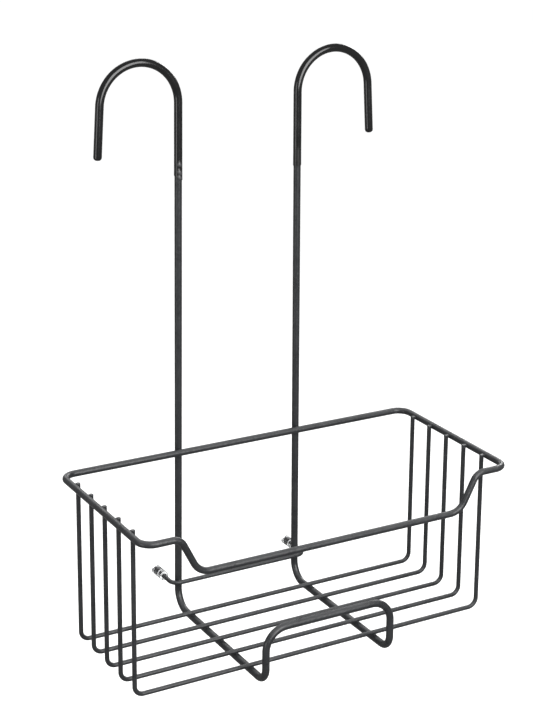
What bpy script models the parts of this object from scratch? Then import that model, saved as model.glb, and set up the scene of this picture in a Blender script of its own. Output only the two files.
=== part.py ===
"""A shower caddy of welded wire that hangs by two hooks.

Metres, +Z up, +X to the right and +Y towards the wall. The origin is midway between the two places where the
hooks rest, in the plane of the hooks.
"""

import math

import bmesh
import bpy
from mathutils import Matrix, Vector

# Wires, by radius: 5, 4.5 and 3 mm steel under 0.1 mm of powder coat. Wires that are welded together in
# reality stay GAP apart.
HANGER_RADIUS = 0.0026
RIM_RADIUS = 0.00235
BASKET_RADIUS = 0.0016
GAP = 0.0001

# Uprights: they stand a little further apart at their foot than at the hooks.
TOP_SPACING = 0.0936
FOOT_SPACING = 0.0976

# Hooks: arcs that open outwards, just short of a half circle, each with a straight leg down to its tip.
HOOK_RADIUS = 0.02905
TIP_LEG = 0.0362
TIP_SPLAY = math.radians(3.3)

# Soft sleeves over the hooks.
SLEEVE_RADIUS = 0.0029
SLEEVE_BORE = 0.0027
SLEEVE_SKIRT = 0.0527
SLEEVE_END = 0.0012

# Rim: a closed loop whose front side drops between two short flats.
RIM_DROP = 0.2770
RIM_WIDTH = 0.280
RIM_DEPTH = 0.1306
RIM_CORNER = 0.0096
DIP_DROP = 0.026
DIP_TOP_WIDTH = 0.229
DIP_FLOOR_WIDTH = 0.202
DIP_TOP_BEND = 0.009
DIP_FLOOR_BEND = 0.0132

# Basket wires: equal U shapes, counted from the rear.
BASKET_WIRES = 5
BASKET_DEPTH = 0.1154
FIRST_WIRE = 0.0193
WIRE_PITCH = 0.02175
BASKET_BEND = 0.0064
TIP_RISE = 0.0012

# Hanger wire below the basket, and the lip that it forms in front.
REAR_BEND = 0.0136
FRONT_BEND = 0.0103
LIP_SPACING = 0.098
LIP_REACH = 0.1256
LIP_DROP = 0.0818
LIP_BEND = 0.0155

# Spacer wire and the soft caps on its ends, which touch the wall.
SPACER_DROP = 0.1005
SPACER_WIDTH = 0.1098
SPACER_BEND = 0.006
WALL_DISTANCE = 0.0255
BUMPER_LENGTH = 0.015
BUMPER_RADIUS = 0.0034
BUMPER_BORE = 0.0017
BUMPER_END = 0.0025
BUMPER_ROUNDING = 0.0009
BUMPER_LIP = 0.0004

# Places that follow from the sizes above.
HOOK_X = TOP_SPACING / 2 + HOOK_RADIUS
HOOK_Z = SLEEVE_RADIUS - HOOK_RADIUS
RIM_Z = -RIM_DROP
REAR_RAIL_Y = -(HANGER_RADIUS + GAP + RIM_RADIUS)
BASKET_X = RIM_WIDTH / 2 - RIM_RADIUS - GAP - BASKET_RADIUS
FLOOR_Z = RIM_Z - BASKET_DEPTH
BASE_Z = FLOOR_Z - BASKET_RADIUS - GAP - HANGER_RADIUS
LIP_Y = REAR_RAIL_Y - LIP_REACH
LIP_Z = RIM_Z - LIP_DROP
SPACER_Y = -(HANGER_RADIUS + GAP + BASKET_RADIUS)
SPACER_Z = RIM_Z - SPACER_DROP

# How finely round shapes are divided.
BEND_STEP = math.radians(15)
WIRE_BEVEL_RESOLUTION = 4
TURNED_STEPS = 24
SMOOTH_ANGLE = math.radians(40)
WELD_DISTANCE = 0.00001


def clear_scene():
    for old in list(bpy.data.objects):
        bpy.data.objects.remove(old, do_unlink=True)


def new_collection(name):
    collection = bpy.data.collections.new(name)
    bpy.context.scene.collection.children.link(collection)
    return collection


def new_material(name, color, roughness, alpha=1.0):
    material = bpy.data.materials.new(name)
    material.use_nodes = True
    shader = material.node_tree.nodes["Principled BSDF"]
    shader.inputs["Base Color"].default_value = (*color, 1.0)
    shader.inputs["Roughness"].default_value = roughness
    shader.inputs["Alpha"].default_value = alpha
    return material


def bend(before, corner, after, radius):
    """Points of the arc that rounds one corner of a wire's path."""
    towards_before = (before - corner).normalized()
    towards_after = (after - corner).normalized()
    inner_angle = towards_before.angle(towards_after)
    turn = math.pi - inner_angle
    start = corner + towards_before * radius / math.tan(inner_angle / 2)
    bisector = (towards_before + towards_after).normalized()
    centre = corner + bisector * radius / math.sin(inner_angle / 2)
    axis = towards_after.cross(towards_before)
    steps = max(2, math.ceil(turn / BEND_STEP))
    return [
        centre + Matrix.Rotation(turn * i / steps, 3, axis) @ (start - centre)
        for i in range(steps + 1)
    ]


def bent_path(corners, radii):
    """An open path through the corners, each inner one rounded to its radius."""
    path = [corners[0]]
    for i, radius in enumerate(radii, start=1):
        path += bend(corners[i - 1], corners[i], corners[i + 1], radius)
    return path + [corners[-1]]


def bent_loop(corners, radii):
    """A closed path with each corner rounded to its radius."""
    path = []
    for i, radius in enumerate(radii):
        path += bend(corners[i - 1], corners[i], corners[(i + 1) % len(corners)], radius)
    return path


def wire(name, path, radius, material, collection, closed=False, taper=None):
    """A round wire along the path. taper gives each point's share of the radius."""
    curve = bpy.data.curves.new(name, "CURVE")
    curve.dimensions = "3D"
    curve.bevel_depth = radius
    curve.bevel_resolution = WIRE_BEVEL_RESOLUTION
    curve.use_fill_caps = not closed
    spline = curve.splines.new("POLY")
    spline.points.add(len(path) - 1)
    for i, place in enumerate(path):
        spline.points[i].co = (*place, 1.0)
        spline.points[i].radius = taper[i] if taper else 1.0
    spline.use_cyclic_u = closed
    spline.use_smooth = True
    curve.materials.append(material)
    obj = bpy.data.objects.new(name, curve)
    collection.objects.link(obj)
    return obj


def as_mesh(obj, collection):
    """Replaces a curve by its closed mesh, which a Boolean can use."""
    bpy.context.view_layer.update()
    evaluated = obj.evaluated_get(bpy.context.evaluated_depsgraph_get())
    mesh = bpy.data.meshes.new_from_object(evaluated)
    bm = bmesh.new()
    bm.from_mesh(mesh)
    bmesh.ops.remove_doubles(bm, verts=bm.verts, dist=WELD_DISTANCE)
    bm.to_mesh(mesh)
    bm.free()
    made = bpy.data.objects.new(obj.name, mesh)
    made.matrix_world = obj.matrix_world
    name = obj.name
    bpy.data.objects.remove(obj)
    made.name = name
    collection.objects.link(made)
    return made


def shade_smooth(obj):
    obj.data.shade_smooth()
    obj.data.set_sharp_from_angle(angle=SMOOTH_ANGLE)


def upright_x(z):
    """How far the uprights stand from the middle at a height."""
    share = (HOOK_Z - z) / (HOOK_Z - BASE_Z)
    return (TOP_SPACING + (FOOT_SPACING - TOP_SPACING) * share) / 2


def tip_place(side, leg):
    """A place on a hook's tip leg, at a length down from the end of the arc."""
    out = HOOK_RADIUS * math.cos(TIP_SPLAY) + leg * math.sin(TIP_SPLAY)
    up = HOOK_RADIUS * math.sin(TIP_SPLAY) - leg * math.cos(TIP_SPLAY)
    return Vector((side * (HOOK_X + out), 0, HOOK_Z + up))


def hook_path(side, upright_end, leg):
    """From a height on the upright, up and over the hook to a length down its tip leg."""
    centre = Vector((side * HOOK_X, 0, HOOK_Z))
    sweep = math.pi - TIP_SPLAY
    steps = round(sweep / BEND_STEP)
    arc = [
        centre + HOOK_RADIUS * Vector((-side * math.cos(turn), 0, math.sin(turn)))
        for turn in (sweep * i / steps for i in range(steps + 1))
    ]
    upright = Vector((side * upright_x(upright_end), 0, upright_end))
    return [upright] + arc + [tip_place(side, leg)]


def make_hanger_wire(material, collection):
    leg = TIP_LEG - SLEEVE_END - GAP
    left = hook_path(-1, FLOOR_Z, leg)[:0:-1]
    right = hook_path(1, FLOOR_Z, leg)[1:]
    left_corners = [
        Vector((-FOOT_SPACING / 2, 0, BASE_Z)),
        Vector((-LIP_SPACING / 2, LIP_Y, BASE_Z)),
        Vector((-LIP_SPACING / 2, LIP_Y, LIP_Z)),
    ]
    right_corners = [Vector((-p.x, p.y, p.z)) for p in reversed(left_corners)]
    bends = [REAR_BEND, FRONT_BEND, LIP_BEND]
    below = bent_path(
        [left[-1], *left_corners, *right_corners, right[0]], bends + bends[::-1]
    )
    wire("hanger_wire", left + below[1:-1] + right, HANGER_RADIUS, material, collection)


def make_hook_sleeve(side, name, material, collection, cutters):
    mouth = HOOK_Z - SLEEVE_SKIRT
    bore_end = TIP_LEG - SLEEVE_END
    path = hook_path(side, mouth, bore_end)
    taper = [1.0] * len(path)
    for latitude in (math.radians(d) for d in (30, 60, 90)):
        path.append(tip_place(side, bore_end + SLEEVE_END * math.sin(latitude)))
        taper.append(1 - SLEEVE_END / SLEEVE_RADIUS * (1 - math.cos(latitude)))
    sleeve = wire(name, path, SLEEVE_RADIUS, material, collection, taper=taper)
    sleeve = as_mesh(sleeve, collection)
    bore_path = hook_path(side, mouth - SLEEVE_RADIUS, bore_end)
    bore = wire(name + "_bore", bore_path, SLEEVE_BORE, material, cutters)
    bore = as_mesh(bore, cutters)
    bore.hide_render = True
    bore.display_type = "WIRE"
    cut = sleeve.modifiers.new("bore", "BOOLEAN")
    cut.operation = "DIFFERENCE"
    cut.object = bore
    shade_smooth(sleeve)


def make_rim_wire(material, collection):
    half_width = RIM_WIDTH / 2
    front_y = REAR_RAIL_Y - RIM_DEPTH
    left_corners = [
        Vector((-DIP_FLOOR_WIDTH / 2, front_y, RIM_Z - DIP_DROP)),
        Vector((-DIP_TOP_WIDTH / 2, front_y, RIM_Z)),
        Vector((-half_width, front_y, RIM_Z)),
        Vector((-half_width, REAR_RAIL_Y, RIM_Z)),
    ]
    right_corners = [Vector((-p.x, p.y, p.z)) for p in reversed(left_corners)]
    bends = [DIP_FLOOR_BEND, DIP_TOP_BEND, RIM_CORNER, RIM_CORNER]
    path = bent_loop(left_corners + right_corners, bends + bends[::-1])
    wire("rim_wire", path, RIM_RADIUS, material, collection, closed=True)


def make_basket_wire(number, material, collection):
    y = REAR_RAIL_Y - FIRST_WIRE - WIRE_PITCH * (number - 1)
    corners = [
        Vector((-BASKET_X, y, RIM_Z + TIP_RISE)),
        Vector((-BASKET_X, y, FLOOR_Z)),
        Vector((BASKET_X, y, FLOOR_Z)),
        Vector((BASKET_X, y, RIM_Z + TIP_RISE)),
    ]
    path = bent_path(corners, [BASKET_BEND] * 2)
    wire(f"basket_wire_{number}", path, BASKET_RADIUS, material, collection)


def make_spacer_wire(material, collection):
    half_width = SPACER_WIDTH / 2
    end_y = WALL_DISTANCE - BUMPER_END - GAP
    corners = [
        Vector((-half_width, end_y, SPACER_Z)),
        Vector((-half_width, SPACER_Y, SPACER_Z)),
        Vector((half_width, SPACER_Y, SPACER_Z)),
        Vector((half_width, end_y, SPACER_Z)),
    ]
    path = bent_path(corners, [SPACER_BEND] * 2)
    wire("spacer_wire", path, BASKET_RADIUS, material, collection)


def bumper_profile():
    """Half section of a cap, from the middle of its closed end down the outside and back up its bore."""
    shoulder = BUMPER_RADIUS - BUMPER_ROUNDING
    profile = [(0, BUMPER_LENGTH), (shoulder, BUMPER_LENGTH)]
    for latitude in (math.radians(d) for d in (60, 30, 0)):
        x = shoulder + BUMPER_ROUNDING * math.cos(latitude)
        z = BUMPER_LENGTH - BUMPER_ROUNDING * (1 - math.sin(latitude))
        profile.append((x, z))
    profile += [
        (BUMPER_RADIUS, BUMPER_LIP),
        (BUMPER_RADIUS - BUMPER_LIP, 0),
        (BUMPER_BORE + BUMPER_LIP, 0),
        (BUMPER_BORE, BUMPER_LIP),
        (BUMPER_BORE, BUMPER_LENGTH - BUMPER_END),
        (0, BUMPER_LENGTH - BUMPER_END),
    ]
    return [Vector((x, 0, z)) for x, z in profile]


def make_bumper(side, name, material, collection):
    profile = bumper_profile()
    mesh = bpy.data.meshes.new(name)
    mesh.from_pydata(profile, [(i, i + 1) for i in range(len(profile) - 1)], [])
    mesh.materials.append(material)
    bumper = bpy.data.objects.new(name, mesh)
    collection.objects.link(bumper)
    mouth_y = WALL_DISTANCE - BUMPER_LENGTH
    bumper.location = (side * SPACER_WIDTH / 2, mouth_y, SPACER_Z)
    bumper.rotation_euler.x = -math.pi / 2
    turn = bumper.modifiers.new("turn", "SCREW")
    turn.steps = TURNED_STEPS
    turn.render_steps = TURNED_STEPS
    turn.use_merge_vertices = True
    turn.merge_threshold = WELD_DISTANCE
    turn.use_smooth_shade = True


def main():
    clear_scene()
    caddy = new_collection("shower_caddy")
    cutters = new_collection("cutters")
    coated_wire = new_material("coated_wire", (0.035, 0.036, 0.039), 0.42)
    soft_sleeve = new_material("soft_sleeve", (0.012, 0.012, 0.013), 0.18)
    clear_cap = new_material("clear_cap", (0.82, 0.84, 0.85), 0.15, alpha=0.4)
    make_hanger_wire(coated_wire, caddy)
    make_rim_wire(coated_wire, caddy)
    for number in range(1, BASKET_WIRES + 1):
        make_basket_wire(number, coated_wire, caddy)
    make_spacer_wire(coated_wire, caddy)
    for side, word in ((-1, "left"), (1, "right")):
        make_hook_sleeve(side, f"hook_sleeve_{word}", soft_sleeve, caddy, cutters)
        make_bumper(side, f"bumper_{word}", clear_cap, caddy)


main()
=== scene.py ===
"""The looks of a shower caddy: powder-coated steel wire, glossy vinyl sleeves on its hooks, and clear caps.

Metres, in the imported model's frame: +Z up, +X to the right, +Y towards the wall.
"""

import bisect
import math

import bmesh
import bpy
from mathutils import Matrix, Vector, noise


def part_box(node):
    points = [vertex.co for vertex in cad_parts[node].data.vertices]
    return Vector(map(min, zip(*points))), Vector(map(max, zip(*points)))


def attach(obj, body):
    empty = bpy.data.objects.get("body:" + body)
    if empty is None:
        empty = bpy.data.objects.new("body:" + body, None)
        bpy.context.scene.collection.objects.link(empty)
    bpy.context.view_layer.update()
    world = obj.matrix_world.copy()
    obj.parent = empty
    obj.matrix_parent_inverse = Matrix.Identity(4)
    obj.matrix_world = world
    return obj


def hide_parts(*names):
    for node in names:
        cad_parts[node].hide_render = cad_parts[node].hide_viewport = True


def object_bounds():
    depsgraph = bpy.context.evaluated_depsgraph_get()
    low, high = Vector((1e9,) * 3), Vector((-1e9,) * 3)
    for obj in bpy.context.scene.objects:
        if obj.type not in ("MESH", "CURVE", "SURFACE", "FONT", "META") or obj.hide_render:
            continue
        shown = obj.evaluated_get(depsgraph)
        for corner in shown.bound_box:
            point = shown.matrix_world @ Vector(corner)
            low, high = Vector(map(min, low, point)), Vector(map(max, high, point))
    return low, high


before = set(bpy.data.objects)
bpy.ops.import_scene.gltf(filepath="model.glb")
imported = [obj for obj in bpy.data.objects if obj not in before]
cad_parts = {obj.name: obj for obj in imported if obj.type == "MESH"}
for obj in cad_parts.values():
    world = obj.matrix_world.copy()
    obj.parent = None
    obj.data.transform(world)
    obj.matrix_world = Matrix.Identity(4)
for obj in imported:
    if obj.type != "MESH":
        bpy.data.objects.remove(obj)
cad_low, cad_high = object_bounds()

# The camera stands to the left and slightly above, and looks down at the caddy.
CAMERA_PLACE = (-0.5689, -1.0494, 0.1858)
CAMERA_AZIMUTH = math.radians(29.407)
CAMERA_ELEVATION = math.radians(14.487)
CAMERA_ROLL = math.radians(0.438)
CAMERA_LENS = 87.08
CAMERA_SHIFT_Y = -0.1793

# Wires, by radius.
HANGER_RADIUS = 0.0026
RIM_RADIUS = 0.00235
BASKET_RADIUS = 0.0016
BASKET_WIRES = 5
CUT_ROUNDING = 0.00045

# The hanger wire, from its hooks down to its lip. The uprights lean a little, and the hooks' legs
# splay out.
TOP_SPACING = 0.0936
FOOT_SPACING = 0.0976
HOOK_RADIUS = 0.02905
TIP_LEG = 0.0362
TIP_SPLAY = math.radians(3.3)
REAR_BEND = 0.0136
FRONT_BEND = 0.0103
LIP_SPACING = 0.098
LIP_RISE = 0.0379
LIP_BEND = 0.0155

# Bends of the other wires, and the widths of the rim's dip.
RIM_CORNER = 0.0096
DIP_TOP_WIDTH = 0.229
DIP_FLOOR_WIDTH = 0.202
DIP_TOP_BEND = 0.009
DIP_FLOOR_BEND = 0.0132
BASKET_BEND = 0.0064
SPACER_BEND = 0.006

# Sleeves. Their bore lies just inside the wire's surface, as soft vinyl that grips it. They were
# worked by hand for some way above the mouth.
SLEEVE_RADIUS = 0.0029
SLEEVE_BORE = 0.00255
SLEEVE_TIP_WALL = 0.0012
SLEEVE_TIP_ROUNDING = 0.0021
SLEEVE_MOUTH_ROUNDING = 0.0003
SLEEVE_WORKED = 0.014
SLEEVE_FLARE = 0.00006

# How the mouths were left. The rise lifts the mouth's edge, and the slant lifts it more on one side
# and less on the other. A dent has a distance from the mouth, a turn, a size along the wire and a
# height, and it is broader round the wire. Turns are in radians, from the front towards the right.
SLANT_TURN = 1.07
DENT_BREADTH = 1.45
LEFT_RISE = 0.00045
LEFT_SLANT = -0.00155
LEFT_DENTS = (
    (0.0012, -0.02, 0.0014, 0.00024),
    (0.0048, -0.02, 0.0015, 0.00028),
    (0.0075, 0.30, 0.0008, -0.00034),
    (0.0100, -0.08, 0.0015, 0.00026),
)
RIGHT_RISE = -0.0002
RIGHT_SLANT = 0.0002
RIGHT_DENTS = (
    (0.0022, -0.6, 0.0009, -0.00012),
    (0.0024, 0.2, 0.0010, 0.00008),
)

# Caps. They are loose at the mouth and grip the wire beyond it.
CAP_RADIUS = 0.0034
CAP_END = 0.0025
CAP_ROUNDING = 0.0009
CAP_LIP = 0.0004
CAP_LOOSE_BORE = 0.0019
CAP_LOOSE_DEPTH = 0.0058
CAP_GRIP_BORE = 0.00155

# Weld fillets fill the space between two crossing wires out to where it is this high, or to this
# share of the thinner wire's radius. Their roots are sunk into both wires.
FILLET_HEIGHT = 0.0010
FILLET_LIMIT = 0.98
FILLET_ROOT = 0.0004
FILLET_UNEVENNESS = 0.25
FILLET_GRAIN = 900

# Where the bulk of a noise's values lies.
NOISE_LOW = 0.3
NOISE_HIGH = 0.7

# Powder coat.
COAT_DARK = (0.0195, 0.0206, 0.0224)
COAT_LIGHT = (0.0280, 0.0294, 0.0317)
PEEL_HEIGHT = 0.00028
GRAIN_HEIGHT = 0.00003
DRAWN_LINE_HEIGHT = 0.000015

# Vinyl. The dents' crests, which stand this far proud of the sleeve, get a pale painted highlight in their
# colour.
VINYL_DARK = (0.006, 0.006, 0.0065)
VINYL_LIGHT = (0.010, 0.010, 0.0105)
VINYL_DUST = (0.03, 0.03, 0.03)
VINYL_PAINTED_GLINT = (0.092, 0.092, 0.096)
PAINTED_GLINT_FROM = 0.00008
PAINTED_GLINT_TO = 0.00022
PAINTED_GLINT_SHARE = 0.8
SCUFF_ROUGHNESS = 0.16
SCUFF_FADES_FROM = 0.8 * SLEEVE_WORKED
DUST_ROUGHNESS = 0.25
RIPPLE_HEIGHT = 0.00012
MOULD_LINE_HEIGHT = 0.00001

# Silicone.
SILICONE_DARK = (0.80, 0.81, 0.815)
SILICONE_LIGHT = (0.88, 0.89, 0.895)
SILICONE_RIPPLE_HEIGHT = 0.00001

# Studio floor.
FLOOR_HALF_WIDTH = 25.0
FLOOR_BELOW = 0.5
FLOOR_DARK = (0.955, 0.955, 0.955)
FLOOR_LIGHT = (0.965, 0.965, 0.965)

# Studio light. A softbox has a place, a width, a height and a radiance.
BACKDROP_WHITE = 1.0
ROOM_LIGHT = 0.26
OVERHEAD_STRENGTH = 2.6
OVERHEAD_SPREAD = math.radians(100)
SOFTBOXES = {
    "key": ((0.1, -1.7, 0.45), 1.5, 1.5, 5.6),
    "left": ((-1.5, -0.4, -0.22), 0.5, 0.9, 3.0),
    "back": ((0.5, 1.75, 0.55), 0.8, 0.8, 2.0),
    "right": ((1.42, 1.05, 0.52), 0.7, 0.7, 7.5),
}

# How finely round shapes are divided, and how near counts as the same place.
RUN_STEP = 0.004
FINE_STEP = 0.0004
BEND_STEP = math.radians(4)
SIDES = 32
ROUNDING_STEPS = 4
FILLET_SIDES = 28
FILLET_STEPS = 8
REACH_STEPS = 30
NEAR = 1e-6


# ---------------------------------------------------------------- routes


def bend(before, corner, after, radius):
    """Points of the arc that rounds one corner."""
    towards_before = (before - corner).normalized()
    towards_after = (after - corner).normalized()
    inner_angle = towards_before.angle(towards_after)
    turn = math.pi - inner_angle
    start = corner + towards_before * radius / math.tan(inner_angle / 2)
    bisector = (towards_before + towards_after).normalized()
    centre = corner + bisector * radius / math.sin(inner_angle / 2)
    axis = towards_after.cross(towards_before)
    steps = math.ceil(turn / BEND_STEP)
    return [
        centre + Matrix.Rotation(turn * i / steps, 3, axis) @ (start - centre)
        for i in range(steps + 1)
    ]


def rounded(corners, bends, closed=False):
    """A path through the corners, each one rounded to its radius. An open path's two ends stay sharp."""
    count = len(corners)
    points = [] if closed else [corners[0]]
    for i, radius in enumerate(bends, start=0 if closed else 1):
        points += bend(corners[i - 1], corners[i], corners[(i + 1) % count], radius)
    return points + [points[0] if closed else corners[-1]]


def divided(points):
    """The points with straight runs cut into short steps, and doubled points left out."""
    path = [points[0]]
    for point in points[1:]:
        start = path[-1]
        run = (point - start).length
        if run < NEAR:
            continue
        steps = math.ceil(run / RUN_STEP)
        path += [start.lerp(point, i / steps) for i in range(1, steps + 1)]
    return path


class Route:
    """A wire's centre line, with a direction across it that doesn't twist along the way."""

    def __init__(self, points, closed=False, across=None):
        self.closed = closed
        self.places = divided(points)
        self.distances = [0.0]
        for last, place in zip(self.places, self.places[1:]):
            self.distances.append(self.distances[-1] + (place - last).length)
        self.length = self.distances[-1]
        self.headings = self.find_headings()
        self.acrosses = self.find_acrosses(across or self.headings[0].orthogonal())

    def find_headings(self):
        steps = [(b - a).normalized() for a, b in zip(self.places, self.places[1:])]
        first, last = (steps[-1], steps[0]) if self.closed else (steps[0], steps[-1])
        return [(a + b).normalized() for a, b in zip([first] + steps, steps + [last])]

    def find_acrosses(self, first):
        acrosses = [first.normalized()]
        for before, after in zip(self.headings, self.headings[1:]):
            turn = before.rotation_difference(after)
            acrosses.append((turn @ acrosses[-1]).normalized())
        return acrosses

    def at(self, distance):
        """The place at a distance along the route, and two directions square to the route there."""
        i = min(bisect.bisect_right(self.distances, distance), len(self.places) - 1) - 1
        share = (distance - self.distances[i]) / (self.distances[i + 1] - self.distances[i])
        heading = self.headings[i].lerp(self.headings[i + 1], share).normalized()
        across = self.acrosses[i].lerp(self.acrosses[i + 1], share)
        across = (across - heading * across.dot(heading)).normalized()
        place = self.places[i].lerp(self.places[i + 1], share)
        return place, across, heading.cross(across)


# ---------------------------------------------------------------- round bodies along a route


def edge(at, radius, rounding, inwards):
    """The rounded edge of an end face, from the face out to the side. inwards points into the body."""
    turns = [math.pi / 2 * (1 - i / ROUNDING_STEPS) for i in range(ROUNDING_STEPS + 1)]
    return [
        (at + inwards * rounding * (1 - math.sin(turn)), radius - rounding * (1 - math.cos(turn)))
        for turn in turns
    ]


def rod(length, radius, rounding):
    """The outline of a plain rod with rounded ends, from one end's middle to the other's."""
    start = edge(0, radius, rounding, 1)
    end = edge(length, radius, rounding, -1)
    return [(0, 0)] + start + end[::-1] + [(length, 0)]


def with_stations(route, outline):
    """The outline with a ring at each of the route's stations between its own points."""
    for (start, start_radius), (end, end_radius) in zip(outline, outline[1:]):
        yield start, start_radius
        low, high = sorted((start, end))
        between = [d for d in route.distances if low + NEAR < d < high - NEAR]
        for distance in between if end > start else reversed(between):
            share = (distance - start) / (end - start)
            yield distance, start_radius + (end_radius - start_radius) * share
    yield outline[-1]


def join_rings(bm, first, second):
    """Faces between two rings. A ring of one point closes the body there."""
    sides = max(len(first), len(second))
    for i in range(sides):
        j = (i + 1) % sides
        corners = [
            first[i % len(first)],
            first[j % len(first)],
            second[j % len(second)],
            second[i % len(second)],
        ]
        bm.faces.new(list(dict.fromkeys(corners)))


def finish_mesh(name, bm, flow, material):
    """Makes the piece. flow is where each point would be if the wire were straight."""
    bmesh.ops.recalc_face_normals(bm, faces=bm.faces)
    mesh = bpy.data.meshes.new(name)
    bm.to_mesh(mesh)
    bm.free()
    attribute = mesh.attributes.new("flow", "FLOAT_VECTOR", "POINT")
    attribute.data.foreach_set("vector", [v for place in flow for v in place])
    mesh.shade_smooth()
    mesh.materials.append(material)
    piece = bpy.data.objects.new(name, mesh)
    bpy.context.scene.collection.objects.link(piece)
    return piece


def sweep(name, route, outline, material, relief=None):
    """A round body along a route, turned from an outline of (distance, radius) points.

    A radius of 0 closes the body. relief(distance, angle) gives how far each point is moved along the route
    and outwards.
    """
    bm = bmesh.new()
    flow = []
    rings = []
    for distance, radius in with_stations(route, outline):
        place, across, up = route.at(distance)
        ring = []
        for i in range(SIDES if radius > 0 else 1):
            angle = 2 * math.pi * i / SIDES
            forwards, outwards = relief(distance, angle) if relief and radius > 0 else (0, 0)
            reach = radius + outwards
            spoke = across * math.cos(angle) + up * math.sin(angle)
            ring.append(bm.verts.new(place + spoke * reach + across.cross(up) * forwards))
            flow.append((distance, reach * math.cos(angle), reach * math.sin(angle)))
        rings.append(ring)
    for first, second in zip(rings, rings[1:]):
        join_rings(bm, first, second)
    return finish_mesh(name, bm, flow, material)


# ---------------------------------------------------------------- materials


class Surface:
    """A Principled material whose nodes are added by name."""

    def __init__(self, name, **values):
        self.material = bpy.data.materials.new(name)
        self.material.use_nodes = True
        self.tree = self.material.node_tree
        self.shader = self.tree.nodes["Principled BSDF"]
        for socket, value in values.items():
            self.shader.inputs[socket.replace("_", " ")].default_value = value

    def add(self, kind, inputs=(), **settings):
        node = self.tree.nodes.new("ShaderNode" + kind)
        for setting, value in settings.items():
            setattr(node, setting, value)
        for socket, value in dict(inputs).items():
            if isinstance(value, bpy.types.NodeSocket):
                self.tree.links.new(value, node.inputs[socket])
            else:
                node.inputs[socket].default_value = value
        return node

    def place(self):
        return self.add("TexCoord").outputs["Object"]

    def flow(self, scale):
        """Where a point would be if its wire were straight, stretched by scale."""
        along = self.add("Attribute", attribute_name="flow").outputs["Vector"]
        return self.add("Mapping", {"Vector": along, "Scale": scale}).outputs["Vector"]

    def noise(self, where, scale, detail=2.0, roughness=0.5):
        inputs = {"Vector": where, "Scale": scale, "Detail": detail, "Roughness": roughness}
        return self.add("TexNoise", inputs).outputs["Fac"]

    def spread(self, value, low, high, start=NOISE_LOW, end=NOISE_HIGH):
        """Maps start..end of a value to low..high."""
        inputs = {"Value": value, "From Min": start, "From Max": end, "To Min": low, "To Max": high}
        return self.add("MapRange", inputs).outputs["Result"]

    def colours(self, value, dark, light):
        """Colours that run from dark to light with a noise."""
        node = self.add("ValToRGB", {"Fac": value})
        first, last = node.color_ramp.elements
        first.position, last.position = NOISE_LOW, NOISE_HIGH
        first.color, last.color = (*dark, 1), (*light, 1)
        return node.outputs["Color"]

    def blend(self, share, first, second):
        """The first colour, turned into the second by a share."""
        inputs = {"Factor": share, "A": first, "B": (*second, 1)}
        return self.add("Mix", inputs, data_type="RGBA").outputs["Result"]

    def total(self, first, second):
        return self.add("Math", {0: first, 1: second}, operation="ADD").outputs["Value"]

    def bump(self, height, distance, below=None):
        inputs = {"Height": height, "Distance": distance}
        if below:
            inputs["Normal"] = below
        return self.add("Bump", inputs).outputs["Normal"]

    def drive(self, socket, value):
        self.tree.links.new(value, self.shader.inputs[socket])


def powder_coat():
    """Satin black powder coat: orange peel, a fine grain, and faint drawing lines of the wire below."""
    surface = Surface("powder_coat", Specular_IOR_Level=0.45)
    place = surface.place()
    patches = surface.noise(place, scale=70, detail=3)
    peel = surface.noise(place, scale=650, detail=2)
    grain = surface.noise(place, scale=3600, detail=2, roughness=0.6)
    lines = surface.noise(surface.flow((30, 900, 900)), scale=1, detail=2)
    surface.drive("Base Color", surface.colours(patches, COAT_DARK, COAT_LIGHT))
    mottle = surface.add("Mix", {"Factor": 0.5, "A": patches, "B": grain}).outputs["Result"]
    surface.drive("Roughness", surface.spread(mottle, low=0.23, high=0.37))
    normal = surface.bump(lines, DRAWN_LINE_HEIGHT)
    normal = surface.bump(peel, PEEL_HEIGHT, normal)
    surface.drive("Normal", surface.bump(grain, GRAIN_HEIGHT, normal))
    return surface.material


def vinyl():
    """Glossy black vinyl with a ripple, fine lines and a little dust, and a pale painted highlight where it
    is proud.
    """
    surface = Surface("glossy_vinyl", Specular_IOR_Level=0.5, Coat_Weight=0.25, Coat_Roughness=0.08)
    place = surface.place()
    patches = surface.noise(place, scale=90, detail=3)
    ripple = surface.noise(surface.flow((90, 260, 260)), scale=1, detail=1)
    lines = surface.noise(surface.flow((20, 1500, 1500)), scale=1, detail=2)
    dust = surface.noise(place, scale=2400, detail=3, roughness=0.65)
    specks = surface.spread(dust, low=0, high=1, start=0.66, end=0.74)
    tint = surface.colours(patches, VINYL_DARK, VINYL_LIGHT)
    tint = surface.blend(specks, tint, VINYL_DUST)
    # The pale colour mixed in on the dents' crests is a painted highlight.
    surface.drive("Base Color", surface.blend(painted_glint_share(surface), tint, VINYL_PAINTED_GLINT))
    surface.drive("Roughness", vinyl_roughness(surface, patches, specks))
    normal = surface.bump(ripple, RIPPLE_HEIGHT)
    surface.drive("Normal", surface.bump(lines, MOULD_LINE_HEIGHT, normal))
    return surface.material


def painted_glint_share(surface):
    """How much pale painted highlight the sleeve gets, by how far a point stands from the middle of its
    wire.
    """
    across = surface.flow((0, 1, 1))
    spoke = surface.add("VectorMath", {0: across}, operation="LENGTH").outputs["Value"]
    first, last = SLEEVE_RADIUS + PAINTED_GLINT_FROM, SLEEVE_RADIUS + PAINTED_GLINT_TO
    return surface.spread(spoke, low=0, high=PAINTED_GLINT_SHARE, start=first, end=last)


def vinyl_roughness(surface, patches, specks):
    """A sheen that varies slowly, duller near the mouth and on the specks of dust."""
    sheen = surface.spread(patches, low=0.12, high=0.2)
    along = surface.add("SeparateXYZ", {"Vector": surface.flow((1, 1, 1))}).outputs["X"]
    scuffed = surface.spread(along, SCUFF_ROUGHNESS, 0, start=SCUFF_FADES_FROM, end=SLEEVE_WORKED)
    dusted = surface.spread(specks, low=0, high=DUST_ROUGHNESS, start=0, end=1)
    return surface.total(surface.total(sheen, scuffed), dusted)


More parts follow.
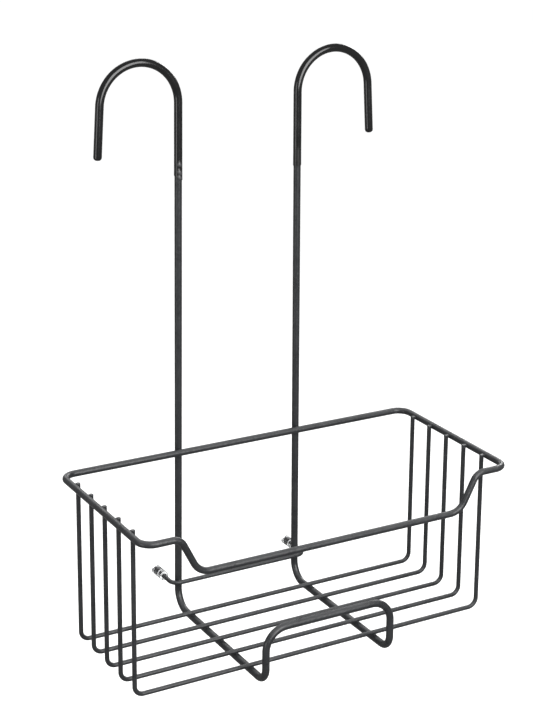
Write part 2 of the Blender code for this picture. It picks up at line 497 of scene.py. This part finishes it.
def silicone():
    """Clear moulded silicone, greyed a little by its thickness and by handling."""
    surface = Surface("clear_silicone", IOR=1.43, Transmission_Weight=1.0)
    place = surface.place()
    patches = surface.noise(place, scale=160, detail=2)
    haze = surface.noise(place, scale=1500, detail=2)
    ripple = surface.noise(place, scale=300, detail=1)
    surface.drive("Base Color", surface.colours(patches, SILICONE_DARK, SILICONE_LIGHT))
    surface.drive("Roughness", surface.spread(haze, low=0.12, high=0.2))
    surface.drive("Normal", surface.bump(ripple, SILICONE_RIPPLE_HEIGHT))
    return surface.material


def matt_white():
    """The studio floor."""
    surface = Surface("studio_floor", Specular_IOR_Level=0.2)
    tone = surface.noise(surface.place(), scale=3, detail=2)
    surface.drive("Base Color", surface.colours(tone, FLOOR_DARK, FLOOR_LIGHT))
    surface.drive("Roughness", surface.spread(tone, low=0.7, high=0.9))
    return surface.material


# ---------------------------------------------------------------- pieces


def settle(piece, slot, *nodes):
    """Ties a piece to the frame: its body, and the CAD nodes that it stands for, which it hides. The slot
    is not used.
    """
    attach(piece, "root")
    if nodes:
        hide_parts(*nodes)
    return piece


def mirrored(corners):
    """The same corners on the other side, in the other order."""
    return [Vector((-p.x, p.y, p.z)) for p in reversed(corners)]


def round_wire(name, node, corners, bends, radius, material):
    route = Route(rounded(corners, bends))
    piece = sweep(name, route, rod(route.length, radius, CUT_ROUNDING), material)
    return settle(piece, "coated_wire", node)


class Sizes:
    """Where the wires run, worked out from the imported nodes' boxes."""

    def __init__(self):
        low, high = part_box("hanger_wire")
        self.hook_x = TOP_SPACING / 2 + HOOK_RADIUS
        self.hook_z = high.z - HANGER_RADIUS - HOOK_RADIUS
        self.base_z = low.z + HANGER_RADIUS
        self.lip_y = low.y + HANGER_RADIUS
        low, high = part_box("rim_wire")
        self.rim_x = high.x - RIM_RADIUS
        self.rear_y = high.y - RIM_RADIUS
        self.front_y = low.y + RIM_RADIUS
        self.rim_z = high.z - RIM_RADIUS
        self.dip_z = low.z + RIM_RADIUS
        low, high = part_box("basket_wire_1")
        self.basket_x = high.x - BASKET_RADIUS
        self.floor_z = low.z + BASKET_RADIUS
        self.basket_top = high.z
        low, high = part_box("spacer_wire")
        self.spacer_x = high.x - BASKET_RADIUS
        self.spacer_y = low.y + BASKET_RADIUS
        self.spacer_end = high.y
        self.spacer_z = (low.z + high.z) / 2

    def basket_y(self, number):
        low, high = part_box(f"basket_wire_{number}")
        return (low.y + high.y) / 2

    def upright_x(self, z):
        """How far the uprights stand from the middle at a height."""
        share = (self.hook_z - z) / (self.hook_z - self.base_z)
        return (TOP_SPACING + (FOOT_SPACING - TOP_SPACING) * share) / 2

    def base_x(self, y):
        """How far the base runs lie from the middle at a depth."""
        return (FOOT_SPACING + (LIP_SPACING - FOOT_SPACING) * y / self.lip_y) / 2

    def hook_points(self, side, upright_end, leg):
        """From a height on the upright, up and over the hook to a length down its tip leg."""
        centre = Vector((side * self.hook_x, 0, self.hook_z))
        whole_turn = math.pi - TIP_SPLAY
        steps = math.ceil(whole_turn / BEND_STEP)
        turns = [whole_turn * i / steps for i in range(steps + 1)]
        arc = [centre + HOOK_RADIUS * Vector((-side * math.cos(t), 0, math.sin(t))) for t in turns]
        down = Vector((side * math.sin(TIP_SPLAY), 0, -math.cos(TIP_SPLAY)))
        upright = Vector((side * self.upright_x(upright_end), 0, upright_end))
        return [upright] + arc + [arc[-1] + down * leg]


def make_hanger(sizes, material):
    rear_bend_top = sizes.base_z + 2 * REAR_BEND
    left = sizes.hook_points(-1, rear_bend_top, TIP_LEG - SLEEVE_TIP_WALL)[::-1]
    corners = [
        left[-1],
        Vector((-FOOT_SPACING / 2, 0, sizes.base_z)),
        Vector((-LIP_SPACING / 2, sizes.lip_y, sizes.base_z)),
        Vector((-LIP_SPACING / 2, sizes.lip_y, sizes.base_z + LIP_RISE)),
    ]
    bends = [REAR_BEND, FRONT_BEND, LIP_BEND]
    below = rounded(corners + mirrored(corners), bends + bends[::-1])
    route = Route(left + below[1:-1] + mirrored(left))
    piece = sweep("hanger", route, rod(route.length, HANGER_RADIUS, CUT_ROUNDING), material)
    settle(piece, "coated_wire", "hanger_wire")


def make_rim(sizes, material):
    left = [
        Vector((-DIP_FLOOR_WIDTH / 2, sizes.front_y, sizes.dip_z)),
        Vector((-DIP_TOP_WIDTH / 2, sizes.front_y, sizes.rim_z)),
        Vector((-sizes.rim_x, sizes.front_y, sizes.rim_z)),
        Vector((-sizes.rim_x, sizes.rear_y, sizes.rim_z)),
    ]
    bends = [DIP_FLOOR_BEND, DIP_TOP_BEND, RIM_CORNER, RIM_CORNER]
    points = rounded(left + mirrored(left), bends + bends[::-1], closed=True)
    route = Route(points, closed=True)
    ring = sweep("rim", route, [(0, RIM_RADIUS), (route.length, RIM_RADIUS)], material)
    weld_seam(ring)
    settle(ring, "coated_wire", "rim_wire")


def weld_seam(ring):
    """Closes a loop by merging its first ring of points with its last."""
    bm = bmesh.new()
    bm.from_mesh(ring.data)
    bmesh.ops.remove_doubles(bm, verts=bm.verts, dist=NEAR * 10)
    bm.to_mesh(ring.data)
    bm.free()


def make_basket_wires(sizes, material):
    for number in range(1, BASKET_WIRES + 1):
        y = sizes.basket_y(number)
        left = [
            Vector((-sizes.basket_x, y, sizes.basket_top)),
            Vector((-sizes.basket_x, y, sizes.floor_z)),
        ]
        corners = left + mirrored(left)
        name = f"basket_wire_{number}"
        round_wire(f"basket_u_{number}", name, corners, [BASKET_BEND] * 2, BASKET_RADIUS, material)


def make_spacer(sizes, material):
    left = [
        Vector((-sizes.spacer_x, sizes.spacer_end, sizes.spacer_z)),
        Vector((-sizes.spacer_x, sizes.spacer_y, sizes.spacer_z)),
    ]
    corners = left + mirrored(left)
    round_wire("spacer", "spacer_wire", corners, [SPACER_BEND] * 2, BASKET_RADIUS, material)


def mouth_relief(rise, slant, dents):
    """The hand-fitted mouth of a sleeve: cut at a slant, flared, and dented where it was pushed on."""

    def relief(distance, angle):
        fade = max(0.0, 1 - distance / SLEEVE_WORKED)
        forwards = (rise + slant * math.cos(angle - SLANT_TURN)) * fade
        outwards = SLEEVE_FLARE * fade**4
        for at, turn, size, height in dents:
            sideways = SLEEVE_RADIUS * ((angle - turn + math.pi) % (2 * math.pi) - math.pi)
            spread = (distance - at) ** 2 + (sideways / DENT_BREADTH) ** 2
            outwards += height * math.exp(-spread / size**2)
        return forwards, outwards

    return relief


def make_sleeve(sizes, side, word, relief, material):
    """A soft tube over the hook: closed at the tip, with a bore that opens at its mouth on the upright."""
    node = f"hook_sleeve_{word}"
    mouth_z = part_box(node)[0].z
    route = Route(sizes.hook_points(side, mouth_z, TIP_LEG), across=Vector((0, -1, 0)))
    bore_end = route.length - SLEEVE_TIP_WALL
    mouth = edge(0, SLEEVE_RADIUS, SLEEVE_MOUTH_ROUNDING, 1)
    worked = round(SLEEVE_WORKED / FINE_STEP)
    mouth += [(SLEEVE_MOUTH_ROUNDING + FINE_STEP * i, SLEEVE_RADIUS) for i in range(1, worked)]
    tip = edge(route.length, SLEEVE_RADIUS, SLEEVE_TIP_ROUNDING, -1)
    outline = [(bore_end, 0), (bore_end, SLEEVE_BORE), (0, SLEEVE_BORE)]
    outline += mouth + tip[::-1] + [(route.length, 0)]
    piece = sweep(f"sleeve_{word}", route, outline, material, relief)
    return settle(piece, "soft_sleeve", node)


def make_cap(word, material):
    """A clear cap, with its mouth towards the front and its closed end on the wall."""
    node = f"bumper_{word}"
    low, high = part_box(node)
    x, z = (low.x + high.x) / 2, (low.z + high.z) / 2
    route = Route([Vector((x, low.y, z)), Vector((x, high.y, z))])
    bore_end = route.length - CAP_END
    taper = CAP_LOOSE_BORE - CAP_GRIP_BORE
    outline = [
        (bore_end, 0),
        (bore_end, CAP_GRIP_BORE),
        (CAP_LOOSE_DEPTH + taper, CAP_GRIP_BORE),
        (CAP_LOOSE_DEPTH, CAP_LOOSE_BORE),
    ]
    outline += [(CAP_LIP, CAP_LOOSE_BORE), (0, CAP_LOOSE_BORE + CAP_LIP)]
    outline += edge(0, CAP_RADIUS, CAP_LIP, 1)
    outline += edge(route.length, CAP_RADIUS, CAP_ROUNDING, -1)[::-1] + [(route.length, 0)]
    piece = sweep(f"cap_{word}", route, outline, material)
    settle(piece, "clear_cap", node)


# ---------------------------------------------------------------- welds


class Crossing:
    """Two wires that cross at a right angle, one over the other.

    The place is on the first wire's axis, and over is the way from it to the second.
    """

    def __init__(self, place, along, radius, over, other_radius, spacing):
        self.place = place
        self.along = along
        self.across = over.cross(along)
        self.over = over
        self.radius = radius
        self.other_radius = other_radius
        self.spacing = spacing

    def lower(self, reach, angle):
        """The first wire's surface, by its height over that wire's axis."""
        return math.sqrt(self.radius**2 - (reach * math.sin(angle)) ** 2)

    def upper(self, reach, angle):
        """The second wire's surface, by its height over the first one's axis."""
        return self.spacing - math.sqrt(self.other_radius**2 - (reach * math.cos(angle)) ** 2)

    def reach(self, angle, height):
        """How far out the space between the wires grows to a height."""
        low, high = 0.0, FILLET_LIMIT * min(self.radius, self.other_radius)
        for _ in range(REACH_STEPS):
            middle = (low + high) / 2
            if self.upper(middle, angle) - self.lower(middle, angle) < height:
                low = middle
            else:
                high = middle
        return low

    def point(self, reach, angle, height):
        out = self.along * math.cos(angle) + self.across * math.sin(angle)
        return self.place + out * reach + self.over * height

    def profile(self, angle, height):
        """Half section of the fillet, from inside the first wire to inside the second."""
        reach = self.reach(angle, height)
        low, high = self.lower(reach, angle), self.upper(reach, angle)
        waist = (high - low) / 2
        turns = [math.pi * i / FILLET_STEPS for i in range(FILLET_STEPS + 1)]
        skin = [(reach - waist * math.sin(t), (low + high) / 2 - waist * math.cos(t)) for t in turns]
        root = reach - waist
        return [(root, low - FILLET_ROOT)] + skin + [(root, high + FILLET_ROOT)]


def add_fillet(bm, flow, crossing):
    """The fused metal between two crossing wires, drawn in at its waist. Its flow is its own place."""
    rings = []
    for i in range(FILLET_SIDES):
        angle = 2 * math.pi * i / FILLET_SIDES
        out = Vector((math.cos(angle), math.sin(angle), 0))
        uneven = noise.noise(crossing.place * FILLET_GRAIN + out)
        height = FILLET_HEIGHT * (1 + FILLET_UNEVENNESS * uneven)
        rings.append([crossing.point(r, angle, h) for r, h in crossing.profile(angle, height)])
    columns = [[bm.verts.new(place) for place in column] for column in zip(*rings)]
    low = crossing.point(0, 0, crossing.lower(0, 0) - FILLET_ROOT)
    high = crossing.point(0, 0, crossing.upper(0, 0) + FILLET_ROOT)
    columns = [[bm.verts.new(low)]] + columns + [[bm.verts.new(high)]]
    for first, second in zip(columns, columns[1:]):
        join_rings(bm, first, second)
    flow += [tuple(vertex.co) for column in columns for vertex in column]


def make_welds(name, crossings, material):
    bm = bmesh.new()
    flow = []
    for crossing in crossings:
        add_fillet(bm, flow, crossing)
    settle(finish_mesh(name, bm, flow, material), "coated_wire")


def weld_rows(sizes, material):
    """Welds the basket wires to the rim and to the base runs that they cross."""
    back, up = Vector((0, 1, 0)), Vector((0, 0, 1))
    beside = sizes.rim_x - sizes.basket_x
    above = sizes.floor_z - sizes.base_z
    at_rim, at_base = [], []
    for side in (-1, 1):
        inwards = Vector((-side, 0, 0))
        for number in range(1, BASKET_WIRES + 1):
            y = sizes.basket_y(number)
            rim = Vector((side * sizes.rim_x, y, sizes.rim_z))
            base = Vector((side * sizes.base_x(y), y, sizes.base_z))
            at_rim.append(Crossing(rim, back, RIM_RADIUS, inwards, BASKET_RADIUS, beside))
            at_base.append(Crossing(base, back, HANGER_RADIUS, up, BASKET_RADIUS, above))
    make_welds("rim_welds", at_rim, material)
    make_welds("base_welds", at_base, material)


def weld_uprights(sizes, material):
    """Welds the rear rail and the spacer wire to the uprights."""
    up, forwards = Vector((0, 0, 1)), Vector((0, -1, 0))
    crossed = (
        ("rail_welds", sizes.rim_z, RIM_RADIUS, -sizes.rear_y),
        ("spacer_welds", sizes.spacer_z, BASKET_RADIUS, -sizes.spacer_y),
    )
    for name, z, radius, spacing in crossed:
        places = [Vector((side * sizes.upright_x(z), 0, z)) for side in (-1, 1)]
        crossings = [
            Crossing(place, up, HANGER_RADIUS, forwards, radius, spacing) for place in places
        ]
        make_welds(name, crossings, material)


# ---------------------------------------------------------------- studio


def make_floor(material):
    mesh = bpy.data.meshes.new("floor")
    bm = bmesh.new()
    bmesh.ops.create_grid(bm, x_segments=8, y_segments=8, size=FLOOR_HALF_WIDTH)
    bm.to_mesh(mesh)
    bm.free()
    mesh.materials.append(material)
    floor = bpy.data.objects.new("floor", mesh)
    floor.location.z = cad_low.z - FLOOR_BELOW
    floor.visible_diffuse = False
    floor.visible_glossy = False
    bpy.context.scene.collection.objects.link(floor)


def add_lamp(lamp, place):
    """Puts a lamp in the studio, turned to the middle of the caddy."""
    obj = bpy.data.objects.new(lamp.name, lamp)
    obj.location = place
    middle = (cad_low + cad_high) / 2
    obj.rotation_euler = (middle - obj.location).to_track_quat("-Z", "Y").to_euler()
    obj.visible_camera = False
    bpy.context.scene.collection.objects.link(obj)


def make_softbox(name, place, width, height, radiance):
    """A large soft light of an even radiance."""
    lamp = bpy.data.lights.new(name, "AREA")
    lamp.shape = "RECTANGLE"
    lamp.size, lamp.size_y = width, height
    lamp.energy = math.pi * width * height * radiance
    add_lamp(lamp, place)


def make_overhead(sleeves):
    """Light from a broad patch above, which also whitens the floor. It is kept off the glossy sleeves."""
    lamp = bpy.data.lights.new("overhead", "SUN")
    lamp.energy = OVERHEAD_STRENGTH
    lamp.angle = OVERHEAD_SPREAD
    obj = bpy.data.objects.new("overhead", lamp)
    bpy.context.scene.collection.objects.link(obj)
    flagged = bpy.data.collections.new("off_the_overhead")
    for sleeve in sleeves:
        flagged.objects.link(sleeve)
    for member in flagged.collection_objects:
        member.light_linking.link_state = "EXCLUDE"
    obj.light_linking.receiver_collection = flagged


def make_world():
    """White to the camera, dimmer to the caddy."""
    world = bpy.data.worlds.new("studio")
    world.use_nodes = True
    tree = world.node_tree
    seen = tree.nodes.new("ShaderNodeLightPath").outputs["Is Camera Ray"]
    strength = tree.nodes.new("ShaderNodeMapRange")
    tree.links.new(seen, strength.inputs["Value"])
    strength.inputs["To Min"].default_value = ROOM_LIGHT
    strength.inputs["To Max"].default_value = BACKDROP_WHITE
    background = tree.nodes["Background"]
    background.inputs["Color"].default_value = (1, 1, 1, 1)
    tree.links.new(strength.outputs["Result"], background.inputs["Strength"])
    bpy.context.scene.world = world


def make_camera():
    camera = bpy.data.objects.new("camera", bpy.data.cameras.new("camera"))
    camera.data.lens = CAMERA_LENS
    camera.data.shift_y = CAMERA_SHIFT_Y
    turn = Matrix.Rotation(-CAMERA_AZIMUTH, 4, "Z")
    tilt = Matrix.Rotation(math.pi / 2 - CAMERA_ELEVATION, 4, "X")
    roll = Matrix.Rotation(CAMERA_ROLL, 4, "Z")
    camera.matrix_world = Matrix.Translation(CAMERA_PLACE) @ turn @ tilt @ roll
    bpy.context.scene.collection.objects.link(camera)
    bpy.context.scene.camera = camera


def make_studio(sleeves):
    bpy.context.scene.view_settings.view_transform = "Standard"
    make_world()
    make_floor(matt_white())
    make_overhead(sleeves)
    for name, (place, width, height, radiance) in SOFTBOXES.items():
        make_softbox(name, place, width, height, radiance)


def make_caddy():
    """Makes every piece, and returns the two sleeves."""
    sizes = Sizes()
    coat, sleeve, clear = powder_coat(), vinyl(), silicone()
    make_hanger(sizes, coat)
    make_rim(sizes, coat)
    make_basket_wires(sizes, coat)
    make_spacer(sizes, coat)
    weld_rows(sizes, coat)
    weld_uprights(sizes, coat)
    make_cap("left", clear)
    make_cap("right", clear)
    return [
        make_sleeve(sizes, -1, "left", mouth_relief(LEFT_RISE, LEFT_SLANT, LEFT_DENTS), sleeve),
        make_sleeve(sizes, 1, "right", mouth_relief(RIGHT_RISE, RIGHT_SLANT, RIGHT_DENTS), sleeve),
    ]


make_camera()
make_studio(make_caddy())
